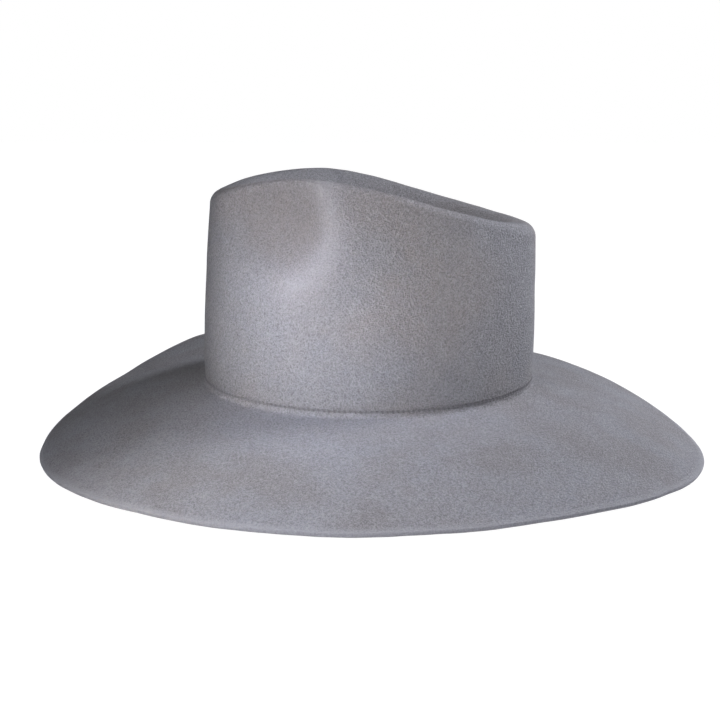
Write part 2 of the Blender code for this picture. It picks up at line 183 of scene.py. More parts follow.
camera = bpy.data.objects.new("camera", bpy.data.cameras.new("camera"))
bpy.context.scene.collection.objects.link(camera)
camera.location = Vector((0, 0, AIM_HEIGHT)) + towards(*CAMERA_FROM) * CAMERA_DISTANCE
camera.rotation_euler = towards(*CAMERA_FROM).to_track_quat("Z", "Y").to_euler()
camera.data.sensor_width = 36.0
camera.data.lens = CAMERA_LENS
camera.data.shift_x, camera.data.shift_y = CAMERA_SHIFT
camera.data.clip_start = 0.02
bpy.context.scene.camera = camera


# Felt body: crown and brim, one hood of grey wool felt steamed over a block, creased by hand into
# a teardrop with two finger dents in front, brushed, and cut raw at the edge of the brim. A row of
# machine stitches pulls small pits into it just above the brim.

HEAD_HALF_LENGTH = 0.0990
HEAD_HALF_WIDTH = 0.0810
HEAD_EGG = 0.020
FELT_THICKNESS = 0.0026
FELT_OUTSET = 0.00599  # of its outer face from the head oval
CREST_STATIONS = (-1.0, -0.55, 0.0, 0.55, 1.0)
CREST_HEIGHTS = (0.1219, 0.1308, 0.1258, 0.1124, 0.1014)
SHOULDER_RADIUS_END = 0.0097
SHOULDER_RADIUS_SIDE = 0.0045
LEAN_FRONT, LEAN_SIDE, LEAN_BACK = 0.0067, 0.0196, 0.0009
LEAN_POWER = 1.3
WALL_BULGE = 0.0008
TIP_DEPTH = 0.0220
TIP_SLOPE_SHARE = 0.46
PINCH_ANGLE = math.radians(-32.0)
PINCH_BELOW_CREST = 0.0245
PINCH_DEPTH = 0.0100
PINCH_RIM = 0.0014
PINCH_RIM_AT, PINCH_RIM_WIDTH = 1.45, 0.38  # in half sizes of the dent
PINCH_FRONT_ANGLE = math.radians(25.0)
PINCH_REAR_ANGLE = math.radians(13.0)
PINCH_HALF_HEIGHT = 0.0245
BREAK_RADIUS = 0.0020
BRIM_STATIONS = (0.0, 45.0, 90.0, 135.0, 180.0)
BRIM_WIDTHS = (0.1036, 0.1123, 0.1078, 0.1094, 0.1114)
BRIM_SLOPES_BREAK = (7.9, 5.5, 5.2, 7.0, 14.4)
BRIM_SLOPES_EDGE = (27.0, 14.7, 16.0, 17.5, 26.1)
BRIM_LIFT = 5.6
BRIM_LIFT_ANGLE = math.radians(-142.5)
BRIM_LIFT_SPREAD = math.radians(16.0)
STITCHES = 216
STITCH_HEIGHT = 0.0038
PIT_DEPTH = 0.0008
PIT_RADIUS = 0.0006
STITCH_ROW_LENGTH = 0.6045
GROOVE_DEPTH = 0.00025
GROOVE_HALF_HEIGHT = 0.0012
COLUMNS_PER_STITCH = 3
OUTER_RINGS = 16, 10, 26, 9, 5, 27  # in the tip, shoulder, wall, stitched band, break and brim
INNER_RINGS = 6, 4, 12, 2, 3, 12
RIM_RINGS = 4
CLOSE_RINGS_ABOVE_STITCH = 0.0020
CUT_BULGE = 0.16
SEWN_FLAT_HEIGHT = 0.02
SLOW_WAVELENGTH, SLOW_WAVE_HEIGHT = 0.055, 0.00020
QUICK_WAVELENGTH, QUICK_WAVE_HEIGHT = 0.021, 0.00009
CROWN_WARM_GREY = 0.268, 0.244, 0.228, 1
CROWN_COOL_GREY = 0.228, 0.234, 0.246, 1
BRIM_DARK_GREY = 0.205, 0.196, 0.195, 1
BRIM_PALE_GREY = 0.285, 0.297, 0.325, 1
PATCH_GREY = 0.285, 0.280, 0.278, 1
SHADED_WOOL = 0.115, 0.110, 0.110, 1
HAIR_GREY = 0.40, 0.395, 0.395, 1
FIBRE_GREY = 0.46, 0.455, 0.455, 1
PAINTED_DENT_SHADE_GREY = 0.150, 0.132, 0.122, 1
PAINTED_RIM_HIGHLIGHT_GREY = 0.46, 0.455, 0.465, 1
PAINTED_PIT_SHADE = 0.012, 0.011, 0.011, 1
CUT_EDGE_GREY = 0.40, 0.40, 0.415, 1

AROUND = STITCHES * COLUMNS_PER_STITCH
crest_curve = np.polynomial.Polynomial.fit(CREST_STATIONS, CREST_HEIGHTS, 4)


def head_oval(angle, outset):
    """(x, y) of the head oval: half width times cosine and half length times sine, wider behind
    by the egg share, and pushed out by outset along its own normal."""
    sine, cosine = np.sin(angle), np.cos(angle)
    along_x = -HEAD_HALF_WIDTH * sine * (1 + HEAD_EGG * sine)
    along_x = along_x + HEAD_HALF_WIDTH * HEAD_EGG * cosine**2
    along_y = HEAD_HALF_LENGTH * cosine
    length = np.hypot(along_x, along_y)
    x = HEAD_HALF_WIDTH * cosine * (1 + HEAD_EGG * sine) + outset * along_y / length
    y = HEAD_HALF_LENGTH * sine - outset * along_x / length
    return x, y


def smooth(share):
    """Eases from 0 to 1 with level ends: three squares less two cubes of the share."""
    share = np.clip(share, 0, 1)
    return share * share * (3 - 2 * share)


def shoulder_radius(angle):
    """Radius of the rounding from the wall to the crest: from the side value to the end value with
    the fourth power of the angle's sine, because the felt is folded sharper along the sides."""
    return SHOULDER_RADIUS_SIDE + (SHOULDER_RADIUS_END - SHOULDER_RADIUS_SIDE) * np.sin(angle) ** 4


def dent_shares(angle, height):
    """Two shares from 0 to 1 over the pair of front dents: the dish, a bell of the distance from
    its middle that is longer in front than behind, and the rim where the felt was pushed up, a
    bell round a ring outside it that fades out in front."""
    from_side = np.abs(np.mod(angle + math.pi / 2, math.tau) - math.pi)
    across = from_side - (math.pi / 2 - PINCH_ANGLE)
    across = across / np.where(across > 0, PINCH_FRONT_ANGLE, PINCH_REAR_ANGLE)
    up = (crest_curve(np.sin(angle)) - height - PINCH_BELOW_CREST) / PINCH_HALF_HEIGHT
    reach = np.hypot(across, up)
    rim = np.exp(-(((reach - PINCH_RIM_AT) / PINCH_RIM_WIDTH) ** 2))
    return np.exp(-(reach**3)), rim * smooth(0.5 - across)


def pinch(angle, height):
    """How far the front dents push the wall in: the dish's depth less the rim's height."""
    dish, rim = dent_shares(angle, height)
    return PINCH_DEPTH * dish - PINCH_RIM * rim


def wall_lean(angle, height):
    """How far the wall has leaned in at a height: a power of the share of its height, to a full
    lean that blends from side to end with the sine squared, less half a sine of bulge."""
    forward = np.sin(angle)
    ends = np.where(forward < 0, LEAN_FRONT, LEAN_BACK)
    full = LEAN_SIDE * (1 - forward**2) + ends * forward**2
    share = np.clip(height / (crest_curve(forward) - shoulder_radius(angle)), 0, 1)
    return full * share**LEAN_POWER - WALL_BULGE * np.sin(math.pi * share)


def wall_point(angle, height, depth):
    """Points at a depth below the outer face of the crown wall."""
    inset = wall_lean(angle, height) + pinch(angle, height)
    x, y = head_oval(angle, FELT_OUTSET - depth - inset)
    return np.stack([x, y, height + 0 * x], axis=-1)


def round_brim(angle, values):
    """A size of the brim at an angle: a cosine series through its values at five stations."""
    order = np.arange(len(values))
    table = np.cos(np.radians(BRIM_STATIONS)[:, None] * order)
    return np.cos((angle + math.pi / 2)[..., None] * order) @ np.linalg.solve(table, values)


def brim_slope(angle, slopes):
    """Slope of the brim in radians, less a bell-shaped lift at the right front."""
    away = np.mod(angle - BRIM_LIFT_ANGLE + math.pi, math.tau) - math.pi
    lift = BRIM_LIFT * np.exp(-((away / BRIM_LIFT_SPREAD) ** 2))
    return np.radians(round_brim(angle, slopes) - lift)


def felt_rows(angle, counts):
    """The outer face as an array of rings from the middle of the tip, over the crest, down the
    wall, round the break and out to the edge of the brim. counts is the rings of each part. The
    brim is summed from short straight steps whose slope changes evenly from break to edge."""
    tip, shoulder, wall, stitch, turn, brim = counts
    crest = crest_curve(np.sin(angle))
    radius = shoulder_radius(angle)
    foot = crest - radius
    rows = []

    arc = (np.arange(1, shoulder + 1) / shoulder * math.pi / 2)[:, None]
    height = crest - radius * (1 - np.cos(arc))
    inset = wall_lean(angle, height) + pinch(angle, height) + radius * (1 - np.sin(arc))
    x, y = head_oval(angle, FELT_OUTSET - inset)
    over = np.stack([x, y, height], axis=-1)

    top_inset = wall_lean(angle, crest) + pinch(angle, crest) + radius
    x, y = head_oval(angle, FELT_OUTSET - top_inset)
    reach = (np.arange(1, tip + 1) / tip)[:, None] ** 0.8
    drop = TIP_DEPTH * smooth((1 - reach) / TIP_SLOPE_SHARE)
    height = crest_curve(reach * np.sin(angle)) - drop
    rows += [np.stack([reach * x, reach * y, height], axis=-1), over]

    band = STITCH_HEIGHT + CLOSE_RINGS_ABOVE_STITCH
    share = (1 - np.arange(1, wall + 1) / wall)[:, None]
    rows.append(wall_point(angle, band + (foot - band) * share, 0))
    share = (1 - np.arange(1, stitch + 1) / stitch)[:, None]
    rows.append(wall_point(angle, BREAK_RADIUS + (band - BREAK_RADIUS) * share, 0))

    first, last = brim_slope(angle, BRIM_SLOPES_BREAK), brim_slope(angle, BRIM_SLOPES_EDGE)
    arc = (np.arange(1, turn + 1) / turn)[:, None] * (math.pi / 2 - first)
    x, y = head_oval(angle, FELT_OUTSET + BREAK_RADIUS * (1 - np.cos(arc)))
    rows.append(np.stack([x, y, BREAK_RADIUS * (1 - np.sin(arc))], axis=-1))

    step = (round_brim(angle, BRIM_WIDTHS) - BREAK_RADIUS) / brim
    slope = first + (last - first) * ((np.arange(brim) + 0.5) / brim)[:, None]
    outset = FELT_OUTSET + BREAK_RADIUS * (1 - np.sin(first))
    outset = outset + np.cumsum(step * np.cos(slope), axis=0)
    height = BREAK_RADIUS * (1 - np.cos(first)) - np.cumsum(step * np.sin(slope), axis=0)
    x, y = head_oval(angle, outset)
    rows.append(np.stack([x, y, height], axis=-1))
    return np.concatenate(rows)


def normals_of(rows):
    """Outward unit normals of a stack of rings: the cross product of its two tangents."""
    along = np.roll(rows, -1, axis=1) - np.roll(rows, 1, axis=1)
    down = np.gradient(rows, axis=0)
    normal = np.cross(down, along)
    return normal / np.maximum(np.linalg.norm(normal, axis=-1, keepdims=True), 1e-12)


def ripple(points, wavelength, seed):
    """A smooth random field between about -1 and 1: nine sine waves in random directions, summed
    and divided by about one and a half times their spread."""
    rng = np.random.default_rng(seed)
    total = np.zeros(points.shape[:-1])
    for _ in range(9):
        way = rng.normal(size=3)
        way *= math.tau / wavelength * rng.uniform(0.6, 1.5) / np.linalg.norm(way)
        total += np.sin(points @ way + rng.uniform(0, math.tau))
    return total / 3.2


def grid_mesh(name, rows, closed=True, stacked=False, poles=(None, None)):
    """A mesh of quads through rows of points. A closed row is a ring, a stacked mesh joins its
    last row to its first, and a pole is a point that closes the first or the last ring with a fan.
    Its faces look outwards when the rings run down the outside of the hat."""
    count, around = rows.shape[:2]
    index = np.arange(count * around).reshape(count, around)
    if closed:
        index = np.concatenate([index, index[:, :1]], axis=1)
    if stacked:
        index = np.concatenate([index, index[:1]])
    quads = np.stack([index[:-1, :-1], index[1:, :-1], index[1:, 1:], index[:-1, 1:]], axis=-1)
    quads = quads.reshape(-1, 4)
    points = rows.reshape(-1, 3)
    fans = []
    for pole, ring, turn in ((poles[0], index[0], False), (poles[1], index[-1], True)):
        if pole is not None:
            middle = len(points)
            points = np.concatenate([points, [pole]])
            first, second = (ring[1:], ring[:-1]) if turn else (ring[:-1], ring[1:])
            fans.append(np.stack([np.full(len(first), middle), first, second], axis=-1))
    mesh = bpy.data.meshes.new(name)
    sizes = [np.full(len(quads), 4)] + [np.full(len(fan), 3) for fan in fans]
    sizes = np.concatenate(sizes).astype(int)
    corners = np.concatenate([quads.ravel()] + [fan.ravel() for fan in fans])
    mesh.vertices.add(len(points))
    mesh.vertices.foreach_set("co", points.ravel())
    mesh.loops.add(len(corners))
    mesh.loops.foreach_set("vertex_index", corners)
    mesh.polygons.add(len(sizes))
    mesh.polygons.foreach_set("loop_start", np.concatenate([[0], np.cumsum(sizes)[:-1]]))
    mesh.update(calc_edges=True)
    mesh.validate()
    mesh.shade_smooth()
    return mesh


def add_piece(name, mesh, node):
    """Puts a mesh into the scene as a piece of the hat that stands for a frame node."""
    piece = bpy.data.objects.new(name, mesh)
    bpy.context.scene.collection.objects.link(piece)
    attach(piece, "root")
    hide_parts(node)
    return piece


def new_group(name, inputs, outputs):
    """An empty shader group with named inputs and outputs, each given as (name, type, value)."""
    group = bpy.data.node_groups.new(name, "ShaderNodeTree")
    for label, kind, value in inputs:
        socket = group.interface.new_socket(label, in_out="INPUT", socket_type="NodeSocket" + kind)
        if value is not None:
            socket.default_value = value
    for label, kind in outputs:
        group.interface.new_socket(label, in_out="OUTPUT", socket_type="NodeSocket" + kind)
    return group, group.nodes.new("NodeGroupInput"), group.nodes.new("NodeGroupOutput")


def blend_colours(tree, factor, first, second):
    """The result socket of a colour mix."""
    mix = place(tree, "Mix", {"data_type": "RGBA"}, i0=factor, i6=first, i7=second)
    return mix.outputs[2]


def new_material(name, roughness, **constants):
    """A material, its Principled shader and the Object coordinates that its patterns follow."""
    material = bpy.data.materials.new(name)
    material.use_nodes = True
    tree = material.node_tree
    shader = tree.nodes["Principled BSDF"]
    shader.inputs["Roughness"].default_value = roughness
    for key, value in constants.items():
        shader.inputs[key.replace("_", " ")].default_value = value
    return material, tree, shader, tree.nodes.new("ShaderNodeTexCoord").outputs["Object"]


def noise(tree, where, scale, detail, **more):
    """The grey output of a noise texture, scale in waves a metre."""
    texture = place(tree, "TexNoise", Vector=where, Scale=scale, Detail=detail, **more)
    return texture.outputs["Fac"]


def tint(tree, tone, colour, mask, share):
    """A tone mixed towards a colour by a share of a mask."""
    return blend_colours(tree, maths(tree, "MULTIPLY", mask, share), tone, colour)


def marked(tree, name):
    """The share that mark() wrote at the mesh's vertices under this name."""
    return place(tree, "Attribute", {"attribute_name": name}).outputs["Fac"]


def raise_surface(tree, shader, height, strength, distance):
    """A bump that follows a height pattern, distance in metres."""
    bump = place(tree, "Bump", Height=height, Strength=strength, Distance=distance)
    tree.links.new(bump.outputs["Normal"], shader.inputs["Normal"])


# Matted wool: clumps of fibre a millimetre or two across, finer hairs over them, and single loose
# fibres that follow the contour lines of a slower noise.
wool, wool_in, wool_out = new_group(
    "matted_wool",
    [
        ("Coordinates", "Vector", None),
        ("Clump Size", "Float", 0.0016),
        ("Hair Size", "Float", 0.0005),
        ("Fibre Spacing", "Float", 0.004),
    ],
    [("Clumps", "Float"), ("Hairs", "Float"), ("Fibres", "Float"), ("Height", "Float")],
)
straight = wool_in.outputs["Coordinates"]
clump_scale = maths(wool, "DIVIDE", 1.0, wool_in.outputs["Clump Size"])
warp = place(wool, "TexNoise", Vector=straight, Scale=clump_scale, Detail=1.0)
shift = place(wool, "VectorMath", {"operation": "SCALE"}, i0=warp.outputs["Color"])
wool.links.new(wool_in.outputs["Clump Size"], shift.inputs["Scale"])
bent = place(wool, "VectorMath", {"operation": "ADD"}, i0=straight, i1=shift.outputs[0]).outputs[0]
clumps = remap(wool, noise(wool, bent, clump_scale, 2.0, Roughness=0.6), 0.36, 0.64)
hair_scale = maths(wool, "DIVIDE", 1.0, wool_in.outputs["Hair Size"])
hairs = remap(wool, noise(wool, bent, hair_scale, 1.0), 0.36, 0.64)
fibre_scale = maths(wool, "DIVIDE", 1.0, wool_in.outputs["Fibre Spacing"])
contours = noise(wool, straight, fibre_scale, 1.0, Distortion=0.6)
off_line = maths(wool, "ABSOLUTE", maths(wool, "SUBTRACT", contours, 0.5))
fibres = remap(wool, off_line, 0.0, 0.022, 1.0, 0.0)
height = maths(wool, "ADD", clumps, maths(wool, "MULTIPLY", hairs, 0.5))
height = maths(wool, "ADD", height, maths(wool, "MULTIPLY", fibres, 0.35))
for label, result in (("Clumps", clumps), ("Hairs", hairs), ("Fibres", fibres), ("Height", height)):
    wool.links.new(result, wool_out.inputs[label])

# The felt itself: warm and cool greys in slow clouds, darker between clumps, with painted shade
# in the dents that were pressed with the fingers and a painted highlight on the rim pushed up
# beside them, painted shade in the needle pits, and paler where it is cut.
felt_material, tree, shader, where = new_material("grey_wool_felt", 0.60, Specular_IOR_Level=0.5)
matted = place(
    tree, "Group", {"node_tree": wool}, Coordinates=where, Clump_Size=0.0014, Hair_Size=0.0007,
    Fibre_Spacing=0.0048,
)
clumps, hairs, fibres = (matted.outputs[name] for name in ("Clumps", "Hairs", "Fibres"))
cloud = remap(tree, noise(tree, where, 14.0, 3.0), 0.40, 0.60)
tone = blend_colours(tree, cloud, CROWN_WARM_GREY, CROWN_COOL_GREY)
rise = place(tree, "SeparateXYZ", Vector=where).outputs["Z"]
brushed = remap(tree, noise(tree, where, 22.0, 4.0, Roughness=0.6), 0.42, 0.60)
brim_tone = blend_colours(tree, brushed, BRIM_DARK_GREY, BRIM_PALE_GREY)
tone = tint(tree, tone, brim_tone, remap(tree, rise, 0.010, -0.006), 0.85)
patches = remap(tree, noise(tree, where, 75.0, 2.0), 0.35, 0.65, 0.0, 0.35)
tone = blend_colours(tree, patches, tone, PATCH_GREY)
tone = tint(tree, tone, SHADED_WOOL, maths(tree, "SUBTRACT", 1.0, clumps), 0.55)
tone = tint(tree, tone, HAIR_GREY, hairs, 0.50)
tone = tint(tree, tone, FIBRE_GREY, fibres, 0.28)
# painted shade in the two finger dents
tone = tint(tree, tone, PAINTED_DENT_SHADE_GREY, marked(tree, "painted_dent_shade"), 0.26)
# painted highlight on the rim of felt pushed up beside the dents
tone = tint(tree, tone, PAINTED_RIM_HIGHLIGHT_GREY, marked(tree, "painted_rim_highlight"), 0.36)
# painted shade in the needle pits of the stitch row
tone = tint(tree, tone, PAINTED_PIT_SHADE, marked(tree, "painted_pit_shade"), 0.95)
tone = tint(tree, tone, CUT_EDGE_GREY, marked(tree, "cut_edge"), 0.6)
tree.links.new(tone, shader.inputs["Base Color"])
tree.links.new(remap(tree, clumps, 0.0, 1.0, 0.72, 0.56), shader.inputs["Roughness"])
raise_surface(tree, shader, matted.outputs["Height"], 0.7, 0.0006)

angles = np.arange(AROUND) * math.tau / AROUND
outer = felt_rows(angles, OUTER_RINGS)
face = normals_of(outer)
inner = felt_rows(angles, INNER_RINGS)
inner_face = normals_of(inner)


def shape_felt(rows, face):
    """Adds the hand-made unevenness to the felt: slow waves, the same for both of its faces, that
    fade out at the foot of the crown, where it is sewn."""
    free = smooth(np.abs(rows[..., 2:]) / SEWN_FLAT_HEIGHT)
    slow = SLOW_WAVE_HEIGHT * ripple(rows, SLOW_WAVELENGTH, 3)[..., None]
    quick = QUICK_WAVE_HEIGHT * ripple(rows, QUICK_WAVELENGTH, 4)[..., None]
    return rows + face * (slow + quick) * free


def on_crown(rings):
    """Which rings lie on the outer face of the crown, from the crest to just round the break."""
    ring = np.arange(len(rings))[:, None]
    return (ring >= OUTER_RINGS[0]) & (ring < sum(OUTER_RINGS[:4]) + 2)


def mark(mesh, name, values):
    """A share from 0 to 1 at each vertex, which the material reads; the poles get 0."""
    layer = mesh.attributes.new(name, "FLOAT", "POINT")
    values = np.pad(values.ravel(), (0, len(mesh.vertices) - values.size))
    layer.data.foreach_set("value", values.astype(np.float32))


above = outer[..., 2] - STITCH_HEIGHT
phase = np.mod(np.arange(AROUND) + 1, COLUMNS_PER_STITCH) - 1
away = np.hypot(above, phase * (STITCH_ROW_LENGTH / AROUND))
pits = PIT_DEPTH * np.exp(-((away / PIT_RADIUS) ** 2)) * on_crown(outer)
groove = GROOVE_DEPTH * np.exp(-((above / GROOVE_HALF_HEIGHT) ** 2)) * on_crown(outer)
outer = shape_felt(outer, face) - face * (pits + groove)[..., None]
inner = shape_felt(inner, inner_face) - inner_face * FELT_THICKNESS
rim_turn = (np.arange(1, RIM_RINGS + 1) / (RIM_RINGS + 1) * math.pi)[:, None, None]
rim_middle = (outer[-1] + inner[-1]) / 2
rim_out = outer[-1] - outer[-2]
rim_out /= np.linalg.norm(rim_out, axis=-1, keepdims=True)
rim = rim_middle + (outer[-1] - rim_middle) * np.cos(rim_turn)
rim = rim + rim_out * FELT_THICKNESS * CUT_BULGE * np.sin(rim_turn) ** 0.5
shell = np.concatenate([outer, rim, inner[::-1]])
tip_middle = (0, 0, float(crest_curve(0.0)) - TIP_DEPTH)
inner_middle = (0, 0, tip_middle[2] - FELT_THICKNESS)
felt_mesh = grid_mesh("felt_body", shell, poles=(tip_middle, inner_middle))
felt_mesh.materials.append(felt_material)

ring = np.arange(len(shell))[:, None]
on_cut = (ring >= len(outer) - 1) & (ring < len(outer) + len(rim) + 1)
mark(felt_mesh, "cut_edge", on_cut + np.zeros((1, AROUND)))
# The dent shares and the needle pits become masks for painted shade in the dents and pits and for a
# painted highlight on the rim beside the dents.
dish, painted_rim_highlight = dent_shares(angles, shell[..., 2])
mark(felt_mesh, "painted_dent_shade", dish * on_crown(shell))
mark(felt_mesh, "painted_rim_highlight", painted_rim_highlight * on_crown(shell))
mark(felt_mesh, "painted_pit_shade", np.pad(pits / PIT_DEPTH, ((0, len(shell) - len(outer)), (0, 0))))
add_piece("felt_crown_and_brim", felt_mesh, "felt_body")


# Crown stitching: one row of lockstitch in grey polyester thread, sewn right through the felt a few
# millimetres above the brim to hold the sweatband's casing. Each stitch dives into its pit.

CLEARANCE = 0.00032
THREAD_RADIUS = 0.00025
THREAD_SIDES = 8
TWISTS_PER_METRE = 1500.0
THREAD_DARK = 0.13, 0.125, 0.13, 1
THREAD_PALE = 0.27, 0.265, 0.27, 1
CASING_DEPTH = FELT_THICKNESS + CLEARANCE
TAPE_THICKNESS = 0.0004


def path_length(points):
    """Metres travelled along a path at each of its points."""
    return np.concatenate([[0], np.cumsum(np.linalg.norm(np.diff(points, axis=0), axis=-1))])


def lay_map(mesh, across, along, wrap=None):
    """A UV map in metres from two arrays with a value for each vertex. Where a face steps over the
    seam of a closed ring, V jumps by one, and wrap is half of that jump."""
    vertices = np.empty(len(mesh.loops), int)
    mesh.loops.foreach_get("vertex_index", vertices)
    count = len(mesh.vertices)
    across = np.pad(np.ravel(across), (0, count - np.size(across)), mode="edge")
    along = np.pad(np.ravel(along), (0, count - np.size(along)), mode="edge")
    values = np.stack([across[vertices], along[vertices]], axis=-1)
    if wrap is not None:
        sizes = np.empty(len(mesh.polygons), int)
        mesh.polygons.foreach_get("loop_total", sizes)
        owner = np.repeat(np.arange(len(sizes)), sizes)
        highest = np.full(len(sizes), -1e9)
        np.maximum.at(highest, owner, values[:, 1])
        values[:, 1] += highest[owner] - values[:, 1] > wrap
    layer = mesh.uv_layers.new(name="cloth")
    layer.data.foreach_set("uv", values.ravel().astype(np.float32))


def tube_mesh(name, points, radius, sides, closed=True, side_on=(0.0, 0.0, 1.0)):
    """A circle of this radius carried along a path, square to it, with a UV map: U counts the
    path's length in metres and V goes once round. An open tube ends in a point a radius on."""
    if closed:
        ahead = np.roll(points, -1, axis=0) - np.roll(points, 1, axis=0)
    else:
        ahead = np.gradient(points, axis=0)
    ahead /= np.linalg.norm(ahead, axis=-1, keepdims=True)
    out = np.cross(ahead, side_on)
    out /= np.linalg.norm(out, axis=-1, keepdims=True)
    up = np.cross(out, ahead)
    turn = (np.arange(sides) * math.tau / sides)[:, None]
    rings = points[:, None] + radius * (np.cos(turn) * out[:, None] + np.sin(turn) * up[:, None])
    tips = (None, None)
    if not closed:
        tips = points[0] - ahead[0] * radius, points[-1] + ahead[-1] * radius
    mesh = grid_mesh(name, rings, stacked=closed, poles=tips)
    round_it = np.tile(np.arange(sides) / sides, len(points))
    lay_map(mesh, np.repeat(path_length(points), sides), round_it, wrap=0.5)
    return mesh


def stitch_path(height, depth, stitches, rise, dive, samples=8):
    """A sewn thread round the crown: over each stitch it lies proud of the face by rise, and at
    each needle hole it goes in by dive, along a flattened sine."""
    step = np.arange(stitches * samples)
    angle = step / len(step) * math.tau
    arch = np.abs(np.sin(math.pi * step / samples)) ** 0.45
    inset = wall_lean(angle, height) + pinch(angle, height)
    x, y = head_oval(angle, FELT_OUTSET - depth - inset - dive + (dive + rise) * arch)
    return np.stack([x, y, height + 0 * x], axis=-1)


def cloth_map(tree):
    """The U and V of a piece's own map: metres along the cloth, or once round a thread."""
    laid = place(tree, "UVMap", {"uv_map": "cloth"}).outputs["UV"]
    parts = place(tree, "SeparateXYZ", Vector=laid)
    return parts.outputs["X"], parts.outputs["Y"]


def ridges(tree, value, rate):
    """Rounded ridges side by side: the absolute sine of a value times a rate."""
    return maths(tree, "ABSOLUTE", maths(tree, "SINE", maths(tree, "MULTIPLY", value, rate)))


thread_material, tree, shader, _ = new_material("grey_thread", 0.6, Specular_IOR_Level=0.35)
travel, round_it = cloth_map(tree)
twist = maths(tree, "ADD", maths(tree, "MULTIPLY", travel, TWISTS_PER_METRE), round_it)
ply = ridges(tree, twist, math.tau)
tree.links.new(blend_colours(tree, ply, THREAD_DARK, THREAD_PALE), shader.inputs["Base Color"])
raise_surface(tree, shader, ply, 0.8, 0.0001)


def sew(name, node, path, closed=True):
    """A sewn thread as one piece."""
    side_on = (0.0, 0.0, 1.0) if closed else (0.0, 1.0, 0.0)
    mesh = tube_mesh(name, path, THREAD_RADIUS, THREAD_SIDES, closed, side_on)
    mesh.materials.append(thread_material)
    add_piece(name, mesh, node)


needle_path = stitch_path(STITCH_HEIGHT, 0.0, STITCHES, rise=0.00002, dive=0.0008)
sew("crown_stitches", "crown_needle_thread", needle_path)
bobbin_depth = CASING_DEPTH + TAPE_THICKNESS + THREAD_RADIUS
bobbin_path = stitch_path(STITCH_HEIGHT, bobbin_depth, STITCHES, rise=0.0, dive=0.0002)
sew("crown_bobbin_stitches", "crown_bobbin_thread", bobbin_path)


# Reed and casing: a round plastic reed gives the lower edge of the sweatband its spring. A strip of
# black cotton tape is folded under it, sewn to the felt behind and to the leather in front.

REED_RADIUS = 0.0009
REED_HEIGHT = 0.0006
REED_DEPTH = CASING_DEPTH + TAPE_THICKNESS + CLEARANCE + REED_RADIUS
REED_DARK = 0.60, 0.59, 0.55, 1
REED_PALE = 0.74, 0.73, 0.69, 1
CASING_BEND_RADIUS = REED_RADIUS + CLEARANCE
CASING_TAIL_HEIGHT = 0.0085
CASING_COLUMNS = 336
TAPE_DARK = 0.012, 0.012, 0.013, 1
TAPE_PALE = 0.055, 0.054, 0.056, 1
SWEATBAND_BOTTOM = REED_HEIGHT + CASING_BEND_RADIUS + TAPE_THICKNESS + CLEARANCE


def cloth_sheet(
    name, rows, thickness, material, node, closed=True, outwards=False, pole=None
):
    """A thin piece: a grid of points thickened by Solidify. Its UV map counts metres along the
    rows in U and down the columns in V, both summed from point to point."""
    mesh = grid_mesh(name, rows, closed=closed, poles=(pole, None))
    along = path_length(rows[len(rows) // 2])
    down = path_length(rows[:, rows.shape[1] // 3])
    lay_map(mesh, np.tile(along, len(rows)), np.repeat(down, rows.shape[1]))
    mesh.materials.append(material)
    piece = add_piece(name, mesh, node)
    wall = piece.modifiers.new("thickness", "SOLIDIFY")
    wall.thickness = thickness
    wall.offset = 1.0 if outwards else -1.0
    wall.use_even_offset = True
    return piece


# Plain weave: threads that pass over and under each other, from how many there are to a metre.
weave, weave_in, weave_out = new_group(
    "plain_weave",
    [
        ("Coordinates", "Vector", None),
        ("Threads per Metre", "Float", 2200.0),
        ("Across Ratio", "Float", 1.0),
    ],
    [("Height", "Float")],
)
parts = place(weave, "SeparateXYZ", Vector=weave_in.outputs["Coordinates"])
count = weave_in.outputs["Threads per Metre"]
first = maths(weave, "MULTIPLY", maths(weave, "MULTIPLY", parts.outputs["X"], count), math.pi)
second = maths(weave, "MULTIPLY", parts.outputs["Y"], count)
second = maths(weave, "MULTIPLY", second, weave_in.outputs["Across Ratio"])
second = maths(weave, "MULTIPLY", second, math.pi)
wave_a, wave_b = maths(weave, "SINE", first), maths(weave, "SINE", second)
over = maths(weave, "GREATER_THAN", maths(weave, "MULTIPLY", wave_a, wave_b), 0.0)
under = maths(weave, "SUBTRACT", 1.0, over)
on_top = maths(weave, "MULTIPLY", over, maths(weave, "ABSOLUTE", wave_a))
beneath = maths(weave, "MULTIPLY", under, maths(weave, "ABSOLUTE", wave_b))
weave.links.new(maths(weave, "ADD", on_top, beneath), weave_out.inputs["Height"])


def woven_material(name, roughness, low, high, threads, ratio, bump_height):
    """Cloth whose threads run along its own UV map, darker between them and a little blotchy."""
    material, tree, shader, where = new_material(name, roughness)
    laid = place(tree, "UVMap", {"uv_map": "cloth"}).outputs["UV"]
    sizes = {"Threads_per_Metre": threads, "Across_Ratio": ratio}
    group = place(tree, "Group", {"node_tree": weave}, Coordinates=laid, **sizes)
    height = group.outputs["Height"]
    blotch = remap(tree, noise(tree, where, 160.0, 3.0), 0.3, 0.7, 0.75, 1.0)
    colour = blend_colours(tree, maths(tree, "MULTIPLY", height, blotch), low, high)
    tree.links.new(colour, shader.inputs["Base Color"])
    raise_surface(tree, shader, height, 0.7, bump_height)
    return material


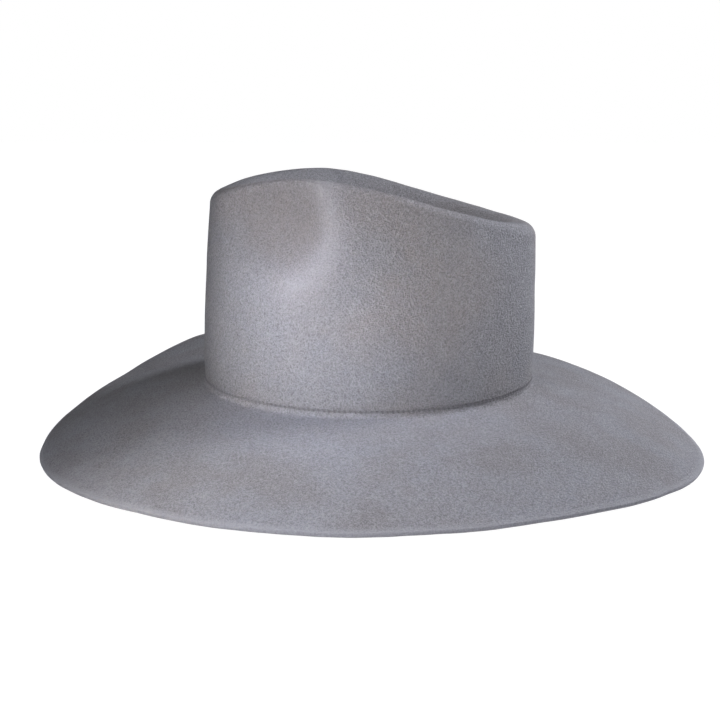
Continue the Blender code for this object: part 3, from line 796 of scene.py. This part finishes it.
tape_material = woven_material(
    "black_cotton_tape", 0.9, TAPE_DARK, TAPE_PALE, threads=2600.0, ratio=0.6, bump_height=0.00012
)
columns = np.arange(CASING_COLUMNS) * math.tau / CASING_COLUMNS
outer_depth, inner_depth = REED_DEPTH - CASING_BEND_RADIUS, REED_DEPTH + CASING_BEND_RADIUS
fold = np.linspace(0, math.pi, 9)
bent_depths = REED_DEPTH - CASING_BEND_RADIUS * np.cos(fold)
depths = np.concatenate([np.full(5, outer_depth), bent_depths, np.full(2, inner_depth)])
heights = np.concatenate([
    np.linspace(CASING_TAIL_HEIGHT, REED_HEIGHT, 6)[:-1],
    REED_HEIGHT - CASING_BEND_RADIUS * np.sin(fold),
    np.linspace(REED_HEIGHT, SWEATBAND_BOTTOM - CLEARANCE, 3)[1:],
])
turned = wall_point(columns, heights[:, None] + 0 * columns, depths[:, None])
casing = cloth_sheet(
    "reed_casing_tape", turned, TAPE_THICKNESS, tape_material, "reed_casing", outwards=True
)

reed_material, tree, shader, where = new_material("reed_plastic", 0.35)
colour = blend_colours(tree, noise(tree, where, 300.0, 2.0), REED_DARK, REED_PALE)
tree.links.new(colour, shader.inputs["Base Color"])
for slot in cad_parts["reed"].material_slots:
    slot.material = reed_material


# Sweatband: a strip of brown vegetable-tanned leather about a millimetre thick, its upper edge
# skived thin with a creased line below it, its ends butted at the back over a strip of tape.

LEATHER_THICKNESS = 0.0010
LINING_DEPTH = FELT_THICKNESS + 0.0010
LINING_THICKNESS = 0.00035
LABEL_THICKNESS = 0.0003
TUCKED_DEPTH = LINING_DEPTH + LINING_THICKNESS + CLEARANCE
LEATHER_DEPTH = TUCKED_DEPTH + max(TAPE_THICKNESS, LABEL_THICKNESS) + CLEARANCE
LEATHER_FACE_DEPTH = LEATHER_DEPTH + LEATHER_THICKNESS
SWEATBAND_TOP = SWEATBAND_BOTTOM + 0.0360
CASING_ROW_HEIGHT = SWEATBAND_BOTTOM + 0.0025
CREASE_BELOW_TOP = 0.0032
CREASE_PRESS = 0.00028
CASING_ROW_PRESS = 0.00018
SKIVE_WIDTH = 0.0012
SKIVE_DEPTH = 0.00025
WORN_DEPTH = 0.00012
TOP_BAND = 0.0060  # the leather's rings are closest from its top down to here
ROW_BAND = 0.0020  # and from here above the stitch row down to its lower edge
EDGE_ROUNDING = 0.0003
LEATHER_DARK = 0.145, 0.082, 0.045, 1
LEATHER_PALE = 0.225, 0.135, 0.078, 1
LEATHER_CREASE = 0.075, 0.040, 0.022, 1
LEATHER_WORN = 0.34, 0.23, 0.15, 1
CASING_STITCHES = 200
SEAM_GAP = 0.0006
SEAM_BACKING_WIDTH = 0.0120
SEAM_STITCHES = 18
SEAM_HALF_WIDTH = 0.0024


def open_columns(gap, depth, count):
    """Angles once round the oval from one side of a gap at the back to the other."""
    half = gap / 2 / (HEAD_HALF_WIDTH + FELT_OUTSET - depth)
    return np.linspace(math.pi / 2 + half, math.pi / 2 + math.tau - half, count)


leather_material, tree, shader, where = new_material(
    "sweatband_leather", 0.5, Coat_Weight=0.08, Coat_Roughness=0.45
)
cells = place(tree, "TexVoronoi", {"feature": "DISTANCE_TO_EDGE"}, Vector=where, Scale=1300.0)
creases = remap(tree, cells.outputs["Distance"], 0.0, 0.16)
fine = noise(tree, where, 2600.0, 3.0)
cloud = noise(tree, where, 45.0, 4.0, Roughness=0.6)
tone = blend_colours(tree, remap(tree, cloud, 0.3, 0.7), LEATHER_DARK, LEATHER_PALE)
in_crease = maths(tree, "SUBTRACT", 0.45, maths(tree, "MULTIPLY", creases, 0.45))
tone = blend_colours(tree, in_crease, tone, LEATHER_CREASE)
rise = place(tree, "SeparateXYZ", Vector=where).outputs["Z"]
near_top = remap(tree, rise, SWEATBAND_TOP - SKIVE_WIDTH, SWEATBAND_TOP)
tone = tint(tree, tone, LEATHER_WORN, near_top, remap(tree, fine, 0.4, 0.6, 0.2, 0.7))
tree.links.new(tone, shader.inputs["Base Color"])
tree.links.new(remap(tree, cloud, 0.3, 0.7, 0.42, 0.58), shader.inputs["Roughness"])
grain = maths(tree, "ADD", creases, maths(tree, "MULTIPLY", fine, 0.35))
raise_surface(tree, shader, grain, 0.5, 0.00012)

columns = open_columns(SEAM_GAP, LEATHER_DEPTH, 401)
heights = np.concatenate([
    np.linspace(SWEATBAND_TOP, SWEATBAND_TOP - TOP_BAND, 13),
    np.linspace(SWEATBAND_TOP - TOP_BAND, CASING_ROW_HEIGHT + ROW_BAND, 12)[1:],
    np.linspace(CASING_ROW_HEIGHT + ROW_BAND, SWEATBAND_BOTTOM, 10)[1:],
])[:, None]
crease_height = SWEATBAND_TOP - CREASE_BELOW_TOP
press = CREASE_PRESS * np.exp(-(((heights - crease_height) / 0.0006) ** 2))
press = press + CASING_ROW_PRESS * np.exp(-(((heights - CASING_ROW_HEIGHT) / 0.0007) ** 2))
skive = SKIVE_DEPTH * smooth((heights - (SWEATBAND_TOP - SKIVE_WIDTH)) / SKIVE_WIDTH)
worn = WORN_DEPTH * np.sin(columns * 23) * np.sin(heights * 160)
leather_rows = wall_point(columns, heights + 0 * columns, LEATHER_DEPTH - (press + skive) - worn)
sweatband = cloth_sheet(
    "leather_sweatband", leather_rows, LEATHER_THICKNESS, leather_material, "sweatband",
    closed=False,
)
rounding = sweatband.modifiers.new("rounded_edges", "BEVEL")
rounding.width, rounding.segments, rounding.limit_method = EDGE_ROUNDING, 2, "ANGLE"

casing_path = stitch_path(
    CASING_ROW_HEIGHT, LEATHER_FACE_DEPTH - 0.00005, CASING_STITCHES, rise=-0.0002, dive=0.0006
)
sew("casing_stitches", "casing_thread", casing_path)


def patch_rows(middle_angle, width, low, high, depth, across, down):
    """A small rectangle that follows the wall: even steps of angle across and of height down."""
    x, y = head_oval(np.array([middle_angle, middle_angle + 0.01]), FELT_OUTSET - depth)
    half = width / 2 / np.hypot(x[1] - x[0], y[1] - y[0]) * 0.01
    columns = np.linspace(middle_angle - half, middle_angle + half, across)
    return wall_point(columns, np.linspace(high, low, down)[:, None] + 0 * columns, depth)


backing_low = SWEATBAND_BOTTOM + CASING_TAIL_HEIGHT
backing_high = SWEATBAND_TOP - THREAD_RADIUS
backing_rows = patch_rows(
    math.pi / 2, SEAM_BACKING_WIDTH, backing_low, backing_high, TUCKED_DEPTH, across=9, down=15
)
backing = cloth_sheet(
    "back_seam_tape", backing_rows, TAPE_THICKNESS, tape_material, "back_seam_backing",
    closed=False,
)

RIBBON_HALF_HEIGHT = 0.0030
RIBBON_THICKNESS = 0.00035
RIBBON_LAYER = RIBBON_THICKNESS + CLEARANCE
TAIL_LENGTH = 0.0130
TAIL_SPREAD = math.radians(32.0)
TAIL_HALF_WIDTH = 0.6 * RIBBON_HALF_HEIGHT
tail_drop = TAIL_LENGTH * math.cos(TAIL_SPREAD) + TAIL_HALF_WIDTH * math.sin(TAIL_SPREAD)
bow_height = CASING_ROW_HEIGHT + THREAD_RADIUS + 0.0020 + tail_drop
seam_low = bow_height + RIBBON_HALF_HEIGHT + RIBBON_LAYER + 4 * THREAD_RADIUS
seam_high = SWEATBAND_TOP - 4 * THREAD_RADIUS
step = np.linspace(0, SEAM_STITCHES, SEAM_STITCHES * 8 + 1)
swing = np.cos(math.pi * step)
side = -SEAM_HALF_WIDTH * swing * (1.12 - 0.12 * swing**2)
height = seam_low + (seam_high - seam_low) * step / SEAM_STITCHES
middle = wall_point(np.full(len(step), math.pi / 2), height, LEATHER_FACE_DEPTH + THREAD_RADIUS)
settle = 0.0004 * np.abs(swing) ** 6
curve_away = side**2 * HEAD_HALF_LENGTH / (2 * HEAD_HALF_WIDTH**2)
zigzag = np.stack([side, middle[:, 1] - curve_away + settle, height], axis=-1)
sew("back_seam_zigzag", "back_seam_thread", zigzag, closed=False)


# Bow: dark grosgrain ribbon six millimetres wide, folded into two loops and two slanted tails,
# held by a wrapped knot and tacked over the lower end of the back seam. It marks the back.

BOW_HALF_WIDTH = 0.0125
BOW_HALF_DEPTH = 0.0022
KNOT_WIDTH = 0.0040
TAIL_CUT = 0.0011  # how far the cut end slants back at its corners
TAIL_COLUMNS = 14
LOOP_COLUMNS = 72
KNOT_COLUMNS = 40
PUFF = 0.00022
RIBS_PER_METRE = 1700.0
RIBBON_DARK = 0.012, 0.012, 0.014, 1
RIBBON_PALE = 0.060, 0.058, 0.063, 1
RIBBON_RUBBED = 0.085, 0.082, 0.088, 1

ribbon_material, tree, shader, where = new_material(
    "grosgrain_ribbon", 0.55, Sheen_Weight=0.25, Sheen_Roughness=0.4
)
rib = ridges(tree, cloth_map(tree)[0], math.pi * RIBS_PER_METRE)
tone = blend_colours(tree, rib, RIBBON_DARK, RIBBON_PALE)
tone = tint(tree, tone, RIBBON_RUBBED, noise(tree, where, 400.0, 2.0), 0.3)
tree.links.new(tone, shader.inputs["Base Color"])
raise_surface(tree, shader, rib, 0.8, 0.0001)


def add_ribbon(name, rows, node, closed=True):
    """A length of the bow's ribbon as one piece."""
    cloth_sheet(name, rows, RIBBON_THICKNESS, ribbon_material, node, closed)


def rounded_square(wave):
    """A sine or cosine made squarer: its root, with its own sign."""
    return np.sign(wave) * np.abs(wave) ** 0.5


bow_at = wall_point(
    np.array([math.pi / 2]), np.array([bow_height]), LEATHER_FACE_DEPTH + 2 * CLEARANCE
)
x0, y0, z0 = bow_at[0]
across_tail, down_tail = math.sin(TAIL_SPREAD), math.cos(TAIL_SPREAD)
reach = np.concatenate(
    [np.linspace(TAIL_LENGTH, 0, TAIL_COLUMNS), np.linspace(0, TAIL_LENGTH, TAIL_COLUMNS)]
)
way = np.repeat([-1.0, 1.0], TAIL_COLUMNS)
swing = smooth(reach / 0.0035)
centre_x = x0 + way * (KNOT_WIDTH / 2 + CLEARANCE + across_tail * reach)
centre_z = z0 - down_tail * reach
wide = way * down_tail * TAIL_HALF_WIDTH * swing
tall = TAIL_HALF_WIDTH * (1 - swing + across_tail * swing)
edges = np.linspace(1, -1, 7)[:, None]
slant = np.abs(TAIL_CUT * edges * smooth((reach - TAIL_LENGTH + 0.002) / 0.002))
wave = 0.0003 * np.sin(reach / TAIL_LENGTH * 5) * (reach / TAIL_LENGTH)
tail_x = centre_x + wide * edges - way * across_tail * slant * 0.5
tail_y = y0 - RIBBON_LAYER - wave + 0 * edges
tail_z = centre_z + tall * edges + down_tail * slant * 0.5
tails = np.stack([tail_x, tail_y, tail_z], axis=-1)
add_ribbon("bow_tails_ribbon", tails, "bow_tails", closed=False)

turns = np.arange(LOOP_COLUMNS) * math.tau / LOOP_COLUMNS
cosine, sine = np.cos(turns), np.sin(turns)
bow_middle = y0 - 2 * RIBBON_LAYER - CLEARANCE - BOW_HALF_DEPTH
loop_y = bow_middle - BOW_HALF_DEPTH * sine * (0.30 + 0.70 * cosine**2)
pull = RIBBON_HALF_HEIGHT * (0.55 + 0.45 * np.abs(cosine))
edges = np.linspace(1, -1, 9)[:, None]
pleat = PUFF * np.cos(edges * math.pi * 2) * (1 - np.abs(cosine)) ** 2
loop_x = x0 + BOW_HALF_WIDTH * cosine + 0 * edges
loops = np.stack([loop_x, loop_y + pleat, z0 + edges * pull], axis=-1)
add_ribbon("bow_loops_ribbon", loops, "bow_loops")

front = bow_middle - BOW_HALF_DEPTH * 0.40 - RIBBON_LAYER
turns = (np.arange(KNOT_COLUMNS) * math.tau / KNOT_COLUMNS)[None, :]
across = np.linspace(-1, 1, 9)[:, None]
puff = PUFF * (1 - across**2)
square_y, square_z = rounded_square(np.cos(turns)), rounded_square(np.sin(turns))
knot_y = (y0 + front) / 2 + ((y0 - front) / 2 + puff * (square_y < 0)) * square_y
knot_z = z0 + (RIBBON_HALF_HEIGHT + RIBBON_LAYER + puff * 0.4) * square_z
knot = np.stack([x0 + across * KNOT_WIDTH / 2 + 0 * turns, knot_y, knot_z], axis=-1)
add_ribbon("bow_knot_ribbon", knot, "bow_knot")


# Lining: pale grey satin. A side band is tucked behind the leather and gathered into a seam with
# an oval tip under the crease, and a piping of the same satin covers that seam.

LINING_START_HEIGHT = 0.0160
LINING_BELOW_CREST = 0.0200
LINING_TIP_SAG = TIP_DEPTH + FELT_THICKNESS + 0.0044 - LINING_BELOW_CREST
LINING_SEAM_GAP = 0.0008
SIDE_BELLY = 0.0003
SIDE_FOLDS = 0.00045
TIP_FOLDS = 0.0008
TIP_COLUMNS = 480
PIPING_RADIUS = 0.0007
PIPING_COLUMNS = 360
PIPING_SIDES = 10
SATIN_DARK = 0.36, 0.35, 0.355, 1
SATIN_PALE = 0.44, 0.43, 0.435, 1
SATIN_BETWEEN = 0.20, 0.195, 0.20, 1

satin_material, tree, shader, where = new_material(
    "lining_satin", 0.34, Sheen_Weight=0.2, Sheen_Roughness=0.35, Anisotropic=0.5
)
along, down = cloth_map(tree)
along, down = maths(tree, "MULTIPLY", along, 2400.0), maths(tree, "MULTIPLY", down, 900.0)
floats = ridges(tree, maths(tree, "ADD", along, down), math.pi)
slub = noise(tree, where, 70.0, 3.0)
tone = blend_colours(tree, remap(tree, slub, 0.3, 0.7), SATIN_DARK, SATIN_PALE)
tone = tint(tree, tone, SATIN_BETWEEN, maths(tree, "SUBTRACT", 1.0, floats), 0.25)
tree.links.new(tone, shader.inputs["Base Color"])
tree.links.new(remap(tree, slub, 0.3, 0.7, 0.28, 0.42), shader.inputs["Roughness"])
raise_surface(tree, shader, floats, 0.35, 0.00005)


def gathers(angle):
    """Small folds round the oval, between 0 and 1: three sines whose counts share no divisor."""
    folds = np.sin(angle * 61) + 0.7 * np.sin(angle * 97 + 1.3) + 0.5 * np.sin(angle * 37 + 0.4)
    return 0.5 + folds / 4.4


columns = open_columns(LINING_SEAM_GAP, LINING_DEPTH, 481)
top = crest_curve(np.sin(columns)) - LINING_BELOW_CREST
share = np.linspace(1, 0, 22)[:, None]
folds = SIDE_FOLDS * gathers(columns) * share**3 * (1 - 0.75 * smooth((share - 0.93) / 0.07))
side_heights = LINING_START_HEIGHT + (top - LINING_START_HEIGHT) * share
side_depths = LINING_DEPTH + SIDE_BELLY * np.sin(share * math.pi) - folds
lining_side = cloth_sheet(
    "satin_lining_side", wall_point(columns, side_heights, side_depths), LINING_THICKNESS,
    satin_material, "lining_side", closed=False,
)

columns = np.arange(TIP_COLUMNS) * math.tau / TIP_COLUMNS
edge_height = crest_curve(np.sin(columns)) - LINING_BELOW_CREST + CLEARANCE + LINING_THICKNESS
rim = wall_point(columns, edge_height, LINING_DEPTH)
reach = np.linspace(0.05, 1, 26)[:, None]
sag = LINING_TIP_SAG * smooth((1 - reach) / TIP_SLOPE_SHARE)
fall = crest_curve(np.sin(columns)) - crest_curve(reach * np.sin(columns))
folds = TIP_FOLDS * (gathers(columns) - 0.5) * reach**6 * (1 - reach) * 9
tip_height = edge_height - fall - sag + folds
tip_rows = np.stack([reach * rim[:, 0], reach * rim[:, 1], tip_height], axis=-1)
middle_height = float(crest_curve(0.0)) - LINING_BELOW_CREST + CLEARANCE + LINING_THICKNESS
tip_pole = (0.0, 0.0, middle_height - LINING_TIP_SAG)
lining_tip = cloth_sheet(
    "satin_lining_tip", tip_rows, LINING_THICKNESS, satin_material, "lining_tip",
    pole=tip_pole,
)

columns = np.arange(PIPING_COLUMNS) * math.tau / PIPING_COLUMNS
piping_depth = LINING_DEPTH + LINING_THICKNESS + CLEARANCE + PIPING_RADIUS
piping_height = crest_curve(np.sin(columns)) - LINING_BELOW_CREST - PIPING_RADIUS - CLEARANCE
piping_path = wall_point(columns, piping_height, piping_depth)
piping_mesh = tube_mesh("satin_piping", piping_path, PIPING_RADIUS, PIPING_SIDES)
piping_mesh.materials.append(satin_material)
piping = add_piece("satin_piping", piping_mesh, "lining_piping")


# Size label: a blank woven tag of cream cotton, tucked between the leather and the lining on the
# left at the back.

LABEL_ANGLE = math.radians(62.0)
LABEL_WIDTH = 0.0150
LABEL_LOW = SWEATBAND_TOP - 0.0120
LABEL_HIGH = SWEATBAND_TOP + 0.0100
LABEL_DARK = 0.42, 0.39, 0.34, 1
LABEL_PALE = 0.72, 0.69, 0.62, 1

label_material = woven_material(
    "label_weave", 0.8, LABEL_DARK, LABEL_PALE, threads=3000.0, ratio=0.8, bump_height=0.00008
)
label_rows = patch_rows(
    LABEL_ANGLE, LABEL_WIDTH, LABEL_LOW, LABEL_HIGH, TUCKED_DEPTH, across=11, down=17
)
label = cloth_sheet(
    "blank_label", label_rows, LABEL_THICKNESS, label_material, "size_label", closed=False
)
